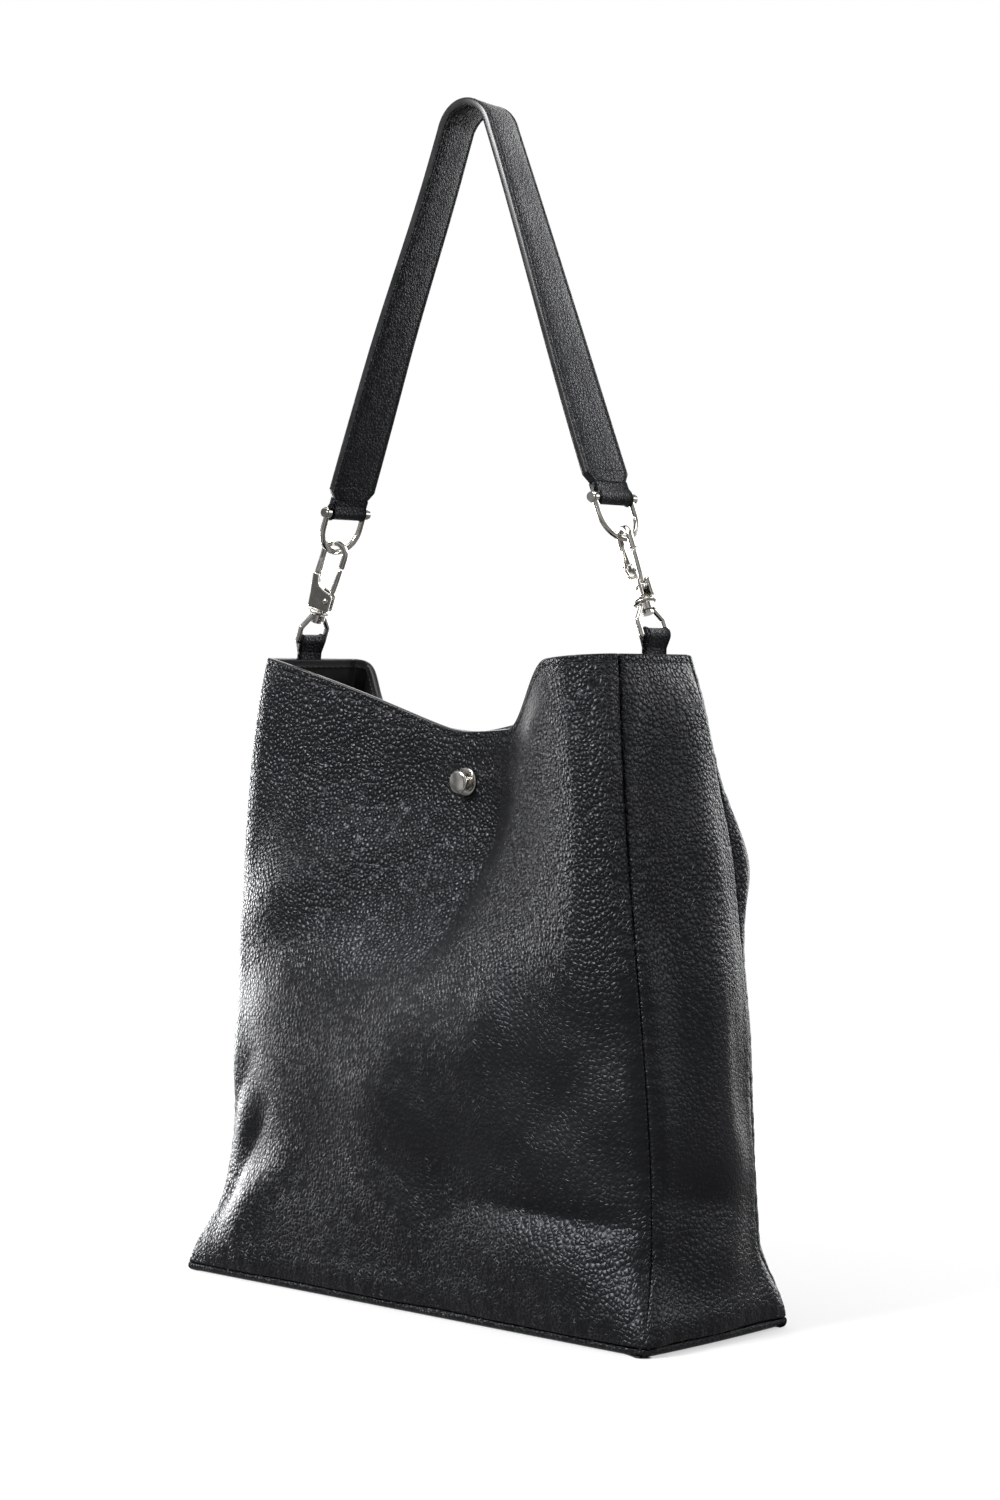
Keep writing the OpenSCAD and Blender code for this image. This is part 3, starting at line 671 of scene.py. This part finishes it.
def rounded_slab(outline, width, bevel=0.6, steps=4):
    """Sections of an outline extruded across +-width/2 with rounded rims: (offset outline, across)."""
    out = []
    for k in (-1, 1):
        a = np.linspace(0, np.pi / 2, steps)
        ring = [(offset_outline(outline, bevel * (1 - math.sin(t))),
                 k * (width / 2 - bevel * (1 - math.cos(t)))) for t in a]
        out += ring if k < 0 else ring[::-1]
    return out


def leather_loop(name, outline, width, place, material, body):
    """A folded leather strip: an outline in its own plane, given width across it."""
    sections = rounded_slab(outline, width)
    count = len(outline)
    verts = np.concatenate([place(np.stack([o[:, 0], np.full(count, y), o[:, 1]], 1)) for o, y in sections])
    return make(name, verts, tube_faces(len(sections), count), material, body)


def resample(points, count):
    """A number of evenly spaced points along a path."""
    p = np.asarray(points, float)
    run = np.concatenate([[0], np.cumsum(np.linalg.norm(np.diff(p, axis=0), axis=1))])
    at = np.linspace(0, run[-1], count)
    return np.stack([np.interp(at, run, p[:, k]) for k in range(p.shape[1])], 1)


def teardrop(hole, thick, height, neck):
    """Outline of leather folded round a bar of the hole's radius and sewn flat above or below it."""
    r = hole + thick
    a = np.linspace(math.radians(200), math.radians(-20), 40)
    head = np.stack([r * np.cos(a), r * np.sin(a)], 1)
    legs = [(neck, -height * 0.55), (neck, -height), (-neck, -height), (-neck, -height * 0.55)]
    return resample(np.concatenate([head, legs, head[:1]]), 120)[:-1]


for side, k in SIDES.items():
    shape = teardrop(EYE_BAR_R, 1.75, 12.0, 1.1)

    def place_tab(p, k=k):
        drop = np.clip(-p[:, 2], 0, None)
        root = (-1.3 if k > 0 else 0.4) * smooth(drop / 10)
        return np.stack([k * (TAB_X + p[:, 0] * k + root + 0.09 * drop), p[:, 1], TAB_Z + p[:, 2]], 1)

    piece = leather_loop(side + "_tab_leather", shape, TAB_W, place_tab, STRAP, "bag")
    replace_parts(piece, side + "_tab")

# ---------------------------------------------------------------- strap

STRAP_W, END_W, STRAP_T, STRAP_R = 31.0, 23.2, 4.4, 18.0
TURN_L, TAPER = 8.0, 5.0
STRAP_ROW = 2.4  # how far a row of stitches lies from the strap's edge
pin_x = TAB_X - PIN_L * math.sin(LEAN)
pin_z = TAB_Z + PIN_L * math.cos(LEAN)
arch_z = pin_z + (pin_x * math.cos(LEAN) - STRAP_R) / math.sin(LEAN)
leg = pin_x * math.sin(LEAN) + (arch_z - pin_z) * math.cos(LEAN)
bend = STRAP_R * (math.pi - 2 * LEAN)
whole = 2 * leg + bend


def strap_at(u):
    """Centre, direction and outward side of the strap, u mm along it from the left pin to the right."""
    u = np.asarray(u, float)
    a = np.clip((u - leg) / STRAP_R, 0, math.pi - 2 * LEAN)
    turn = math.pi - LEAN - a
    out = np.stack([np.cos(turn), 0 * u, np.sin(turn)], -1)
    along = np.stack([np.sin(turn), 0 * u, -np.cos(turn)], -1)
    rest = np.where(u < leg, u - leg, np.where(u > leg + bend, u - leg - bend, 0))
    centre = np.array([0, 0, arch_z]) + STRAP_R * out + rest[..., None] * along
    lean_over = smooth((u - 0.4 * leg) / (0.5 * leg)) * smooth((whole - u) / leg)
    centre = centre + (3.5 * lean_over)[..., None] * np.array([1.0, 0, 0])
    across = strap_across(u, along)
    return centre, along, unit(np.cross(across, along)), across


def strap_across(u, along):
    """Direction of the strap's width: across the bag at its ends, turned a little at its crown."""
    turn = math.radians(15) * np.sin(np.pi * np.clip(u / whole, 0, 1)) ** 2
    w = np.stack([-np.sin(turn), np.cos(turn), 0 * turn], -1)
    return unit(w - along * np.sum(w * along, -1, keepdims=True))


def strap_half_width(u):
    """Half of the strap's width, which narrows just before its turns."""
    end = np.minimum(u, whole - u) - TURN_L
    return END_W / 2 + (STRAP_W - END_W) / 2 * np.clip(end / TAPER, 0, 1)


def strap_band(name, low, high, material, u0, u1, grow=0.0):
    """One layer of the strap between two distances from its middle."""
    u = np.unique(np.concatenate([np.linspace(u0, u1, 260), u0 + np.linspace(0, TAPER, 9),
                                  u1 - np.linspace(0, TAPER, 9), [u0, u1]]))
    centre, along, out, across = strap_at(u)
    w = strap_half_width(u) + grow
    mid, half = (low + high) / 2, (high - low) / 2
    r = min(0.7, half * 0.95)
    section = []
    for cx, cy, a0 in ((1, 1, 0), (-1, 1, 90), (-1, -1, 180), (1, -1, 270)):
        for a in np.radians(np.linspace(a0, a0 + 90, 5)):
            section.append((cx, cy, math.cos(a), math.sin(a)))
        if cx == cy:  # extra points across the broad faces, for the rows of stitches
            signs = np.array([1, 1, 1, 0.5, 0, -0.5, -1, -1, -1]) * (1 if cy > 0 else -1)
            inner = [1.5, STRAP_ROW, 3.3, 0, 0, 0, 3.3, STRAP_ROW, 1.5]
            section += [("face", cy, sgn, d) for sgn, d in zip(signs, inner)]
    rows = []
    for item in section:
        if item[0] == "face":
            _, cy, sgn, d = item
            y = sgn * (w - d) if d else sgn * (w - 6)
            dent = -0.35 if d == STRAP_ROW else (0.12 if d == 0 else 0.05)
            h = mid + cy * (half + dent)
            h = np.full_like(u, h)
        else:
            cx, cy, ca, sa = item
            y = cx * (w - r) + r * ca
            h = np.full_like(u, mid + cy * (half - r) + r * sa)
        rows.append(centre + out * h[:, None] + across * np.asarray(y)[:, None])
    ring = np.stack(rows, 1)
    piece = make(name, ring.reshape(-1, 3), tube_faces(len(u), len(section)), material, "strap")
    return piece


start, stop = TURN_L + 0.1, whole - TURN_L - 0.1
half_t = STRAP_T / 2
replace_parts(strap_band("strap_outer_leather", 0.15, half_t, STRAP, start, stop), "strap_outer")
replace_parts(strap_band("strap_inner_leather", -half_t, -0.15, STRAP, start, stop), "strap_inner")
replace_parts(strap_band("strap_edge_paint", -half_t + 0.5, half_t - 0.5, EDGE, start, stop, 0.12), "strap_core")

for face, height in (("outer", half_t), ("inner", -half_t)):
    u = np.arange(start + 5, stop - 5, 3.8)
    centre, along, out, across = strap_at(u)
    sign = math.copysign(1, height)
    pieces_at = []
    for k in (-1, 1):
        y = k * (strap_half_width(u) - STRAP_ROW)
        pieces_at.append((centre + out * (height + sign * -0.2) + across * y[:, None], along, out * sign))
    for end in (start + 7, stop - 7):
        y = np.arange(-10.8, 10.9, 3.6)
        c, a, o, w = strap_at(np.full(len(y), end))
        pieces_at.append((c + o * (height + sign * 0.05) + w * y[:, None], w, o * sign))
    c, a, o = [np.concatenate(x) for x in zip(*pieces_at)]
    threads(f"strap_{face}_thread", c, a, o, 2.9, 0.3, THREAD, "strap")

for side, k in SIDES.items():
    shape = teardrop(PIN_R, 1.9, TURN_L, half_t - 0.1) * np.array([1, -1])
    piece = leather_loop(side + "_strap_turn_leather", shape[::-1], END_W,
                         lambda p, side=side: in_chain(side, p + np.array([0, 0, PIN_L])), STRAP, "strap")
    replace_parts(piece, side + "_strap_turn")

# ---------------------------------------------------------------- snap hooks

CROWN_R, CROWN_L, NOSE_L = 6.3, 51.7, 45.0
GATE_X, GATE_L = 3.4, 25.0  # the gate's pin


def bar(name, stations, side, body):
    """A bar in a hook's own plane. Stations: (across, along, half-thickness in the plane, half-width)."""
    st = np.asarray(stations, float)
    run = np.concatenate([[0], np.cumsum(np.linalg.norm(np.diff(st[:, :2], axis=0), axis=1))])
    at = np.unique(np.concatenate([np.linspace(0, run[-1], 90), run[:3], run[-3:]]))
    st = np.stack([np.interp(at, run, st[:, k]) for k in range(4)], 1)
    t = unit(np.gradient(st[:, :2], axis=0))
    a = np.linspace(0, 2 * np.pi, 28, endpoint=False)
    c, q = [np.sign(f) * np.abs(f) ** 0.8 for f in (np.cos(a), np.sin(a))]
    x = st[:, None, 0] + t[:, None, 1] * st[:, None, 2] * c
    z = st[:, None, 1] - t[:, None, 0] * st[:, None, 2] * c
    verts = in_chain(side, np.stack([x, st[:, None, 3] * q, z], -1), TURN[side])
    piece = make(name, verts.reshape(-1, 3), tube_faces(len(st), len(a)), NICKEL, body)
    return piece


def plate(name, outline, y0, y1, bevel, side, body):
    """A flat plate of a hook between two distances across it, with rounded rims."""
    p = resample(outline + outline[:1], 90)[:-1]
    mid, half = (y0 + y1) / 2, (y1 - y0) / 2
    sections = [(o, mid + y) for o, y in rounded_slab(p, 2 * half, bevel)]
    sections = ([(offset_outline(p, bevel + 0.3), y0)] + sections + [(offset_outline(p, bevel + 0.3), y1)])
    count = len(p)
    verts = np.concatenate([in_chain(side, np.stack([o[:, 0], np.full(count, y), o[:, 1]], 1), TURN[side])
                            for o, y in sections])
    make(name, verts, tube_faces(len(sections), count), NICKEL, body)


def turned(name, profile, at, way, side, body, ring=False):
    """A turned detail of a hook: a point and a direction in the chain's frame."""
    origin = in_chain(side, np.array(at, float), TURN[side])
    axis = in_chain(side, np.array(at, float) + way, TURN[side]) - origin
    piece = lathe(name, profile, origin, axis, NICKEL, body, 40, ring)


# Outlines of the hook's block and of the solid part between its cheeks: (across, along) the chain.
GATE_SHOULDER = [(6.2, 28.4), (5.6, 29.2), (3.4, 29.9), (0.6, 30.6)]
SPINE_SHOULDER = [(-1.8, 31.8), (-3.4, 33.6), (-4.2, 36), (-4.5, 38.5)]
SPINE_BACK = [(-8.1, 38.5), (-7.4, 33), (-6.6, 26), (-6.2, 20)]
BLOCK = [(-5.4, 19.2), (5.4, 19.2), (6.2, 20)] + GATE_SHOULDER + SPINE_SHOULDER + SPINE_BACK
CORE = [(-5.4, 19.2), (-0.6, 19.2), (-0.6, 31.0)] + SPINE_SHOULDER + SPINE_BACK
for side in SIDES:
    hook_body, gate_body = side + "_hook", side + "_gate"
    spine = [(-6.1, 34, 1.9, 3.3), (-6.3, 40, 1.85, 3.1), (-6.3, 45, 1.75, 2.3), (-6.3, 48, 1.7, 1.75)]
    crown = [(-CROWN_R * math.cos(a), CROWN_L + CROWN_R * math.sin(a), 1.7, 1.7)
             for a in np.linspace(0, math.pi, 40)]
    nose = [(6.15, 47, 1.75, 1.8), (6.05, NOSE_L + 0.5, 1.7, 1.8), (6.0, NOSE_L + 0.1, 1.4, 1.5),
            (6.0, NOSE_L, 1.0, 1.1)]
    stations = spine + crown + nose
    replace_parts(bar(hook_body + "_bar", stations, side, hook_body), hook_body)
    for part, y0, y1 in (("near", -3.6, -1.8), ("far", 1.8, 3.6)):
        plate(f"{hook_body}_{part}_cheek", BLOCK, y0, y1, 0.45, side, hook_body)
    plate(hook_body + "_core", CORE, -1.9, 1.9, 0.05, side, hook_body)
    profile = [(1.6, 17), (5.5, 17), (6.0, 17.35), (6.0, 18.15), (5.5, 18.5), (5.1, 18.6), (5.1, 19.4),
               (1.6, 19.4)]
    turned(hook_body + "_flange", profile, (0, 0, 0), (0, 0, 1), side, hook_body, True)
    for part, k in (("near", -1), ("far", 1)):
        profile = [(1.6, 3.5), (1.6, 3.75), (1.3, 4.05), (0.7, 4.2), (0.05, 4.22)]
        turned(f"{hook_body}_rivet_{part}", profile, (GATE_X, 0, GATE_L), (0, k, 0), side, hook_body)
    stations = [(3.9, 27.2, 0.8, 1.1), (4.0, 27.6, 1.3, 1.4), (4.9, 32, 1.5, 1.5), (5.5, 38, 1.4, 1.5),
                (5.95, 43.6, 1.2, 1.4), (6.0, 44.4, 0.9, 1.1)]
    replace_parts(bar(gate_body + "_lever", stations, side, gate_body), gate_body)
    profile = [(1.05, -0.2), (1.9, -0.2), (2.2, 0.1), (2.2, 1.3), (1.9, 1.6), (1.05, 1.6)]
    turned(gate_body + "_hub", profile, (GATE_X, 0, GATE_L), (0, -1, 0), side, gate_body, True)

# ---------------------------------------------------------------- stud

SNAP_Z = MID_H - 26
stud_at = (0, -PINCH_Y - 0.4, SNAP_Z)
cap_profile = [(2.5, 1.2), (2.6, 4.9), (5.2, 5.1), (5.9, 5.6), (6.2, 6.3), (5.9, 7.0), (5.0, 7.35), (2.6, 7.6),
               (0.05, 7.7)]
cap = lathe("stud_cap_metal", round_profile(cap_profile, 0.4), stud_at, (0, -1, 0), NICKEL, "bag")
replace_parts(cap, "stud_cap")
flange_profile = [(0.05, 0.1), (7.4, 0.1), (7.6, 0.5), (7.2, 1.1), (5.4, 1.3), (5.0, 0.9), (2.4, 0.8)]
flange = lathe("stud_flange_metal", round_profile(flange_profile, 0.3), stud_at, (0, -1, 0), NICKEL, "bag")
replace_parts(flange, "stud_flange")

# ---------------------------------------------------------------- CAD nodes that stay visible

for name, obj in nodes.items():
    if obj.hide_render:
        continue
    obj.data.materials.clear()
    material = NICKEL
    if "spring" in name:
        material = STEEL
    elif name == "base_board":
        material = BOARD
    elif "lining" in name:
        material = LINING
    obj.data.materials.append(material)

# ---------------------------------------------------------------- floor, lights

floor_data = bpy.data.meshes.new("floor")
turn = np.linspace(0, 2 * np.pi, 96, endpoint=False)
floor_data.from_pydata([(7 * math.cos(a), 7 * math.sin(a), 0) for a in turn], [], [list(range(96))])
floor = bpy.data.objects.new("floor", floor_data)
bpy.context.scene.collection.objects.link(floor)
floor_material, tree, shader = graph("pale_floor")
shader.inputs["Base Color"].default_value = (0.93, 0.93, 0.93, 1)
shader.inputs["Roughness"].default_value = 0.9
glow = node(tree, "ShaderNodeEmission", Color=(1, 1, 1, 1), Strength=1.0)
distance = node(tree, "ShaderNodeVectorMath", operation="LENGTH")
tree.links.new(tree.nodes.new("ShaderNodeTexCoord").outputs["Object"], distance.inputs[0])
share = node(tree, "ShaderNodeMapRange", interpolation_type="SMOOTHSTEP")
tree.links.new(distance.outputs["Value"], share.inputs["Value"])
for key, value in (("From Min", 0.25), ("From Max", 1.3), ("To Min", 0.5), ("To Max", 1.0)):
    share.inputs[key].default_value = value
blend = tree.nodes.new("ShaderNodeMixShader")
tree.links.new(share.outputs["Result"], blend.inputs[0])
tree.links.new(shader.outputs[0], blend.inputs[1])
tree.links.new(glow.outputs[0], blend.inputs[2])
tree.links.new(blend.outputs[0], tree.nodes["Material Output"].inputs["Surface"])
floor_data.materials.append(floor_material)
floor.visible_glossy = False
floor.visible_diffuse = False


LIT_POINT = (0, 0, 0.3)


def area_light(name, place, width, radiance, height=None):
    """A rectangular soft light, turned towards the bag, of a given brightness per area."""
    data = bpy.data.lights.new(name, "AREA")
    data.shape = "RECTANGLE"
    data.size, data.size_y = width, height or width
    data.energy = radiance * math.pi * data.size * data.size_y
    light = bpy.data.objects.new(name, data)
    bpy.context.scene.collection.objects.link(light)
    light.location = place
    light.rotation_euler = (Vector(LIT_POINT) - Vector(place)).to_track_quat("-Z", "Y").to_euler()
    light.visible_camera = False


# name, place, width, brightness and, where it isn't square, height
area_light("backdrop", (-1.3, 1.9, 0.9), 3.0, 2.6, 2.2)
area_light("key", (-0.32, -1.5, 1.4), 0.7, 31.0)
area_light("left", (-1.95, 0.16, 0.22), 0.8, 17.0, 0.5)
area_light("rear", (0.2, 2.0, 1.0), 1.0, 4.0, 0.9)
area_light("side", (1.3, 0.9, 1.1), 0.9, 2.4, 1.2)
area_light("top", (0.0, -0.1, 2.0), 1.2, 2.0)

# The studio: dim grey cards around the bag for its lighting, and plain white behind it for the camera.
world = bpy.data.worlds.new("studio")
bpy.context.scene.world = world
world.use_nodes = True
wt = world.node_tree
dim = wt.nodes["Background"]
around = wt.nodes.new("ShaderNodeTexNoise")
around.inputs["Scale"].default_value = 2.4
around.inputs["Detail"].default_value = 1.0
wt.links.new(wt.nodes.new("ShaderNodeTexCoord").outputs["Generated"], around.inputs["Vector"])
cards = ramp(wt, around.outputs["Fac"], [(0.4, 0.14), (0.5, 0.28), (0.58, 0.55)])
wt.links.new(cards, dim.inputs["Color"])
dim.inputs["Strength"].default_value = 0.8
white = wt.nodes.new("ShaderNodeBackground")
white.inputs["Color"].default_value = (1, 1, 1, 1)
white.inputs["Strength"].default_value = 1.0
path = wt.nodes.new("ShaderNodeLightPath")
mixer = wt.nodes.new("ShaderNodeMixShader")
wt.links.new(path.outputs["Is Camera Ray"], mixer.inputs[0])
wt.links.new(dim.outputs[0], mixer.inputs[1])
wt.links.new(white.outputs[0], mixer.inputs[2])
wt.links.new(mixer.outputs[0], wt.nodes["World Output"].inputs["Surface"])
bpy.context.scene.view_settings.view_transform = "Standard"
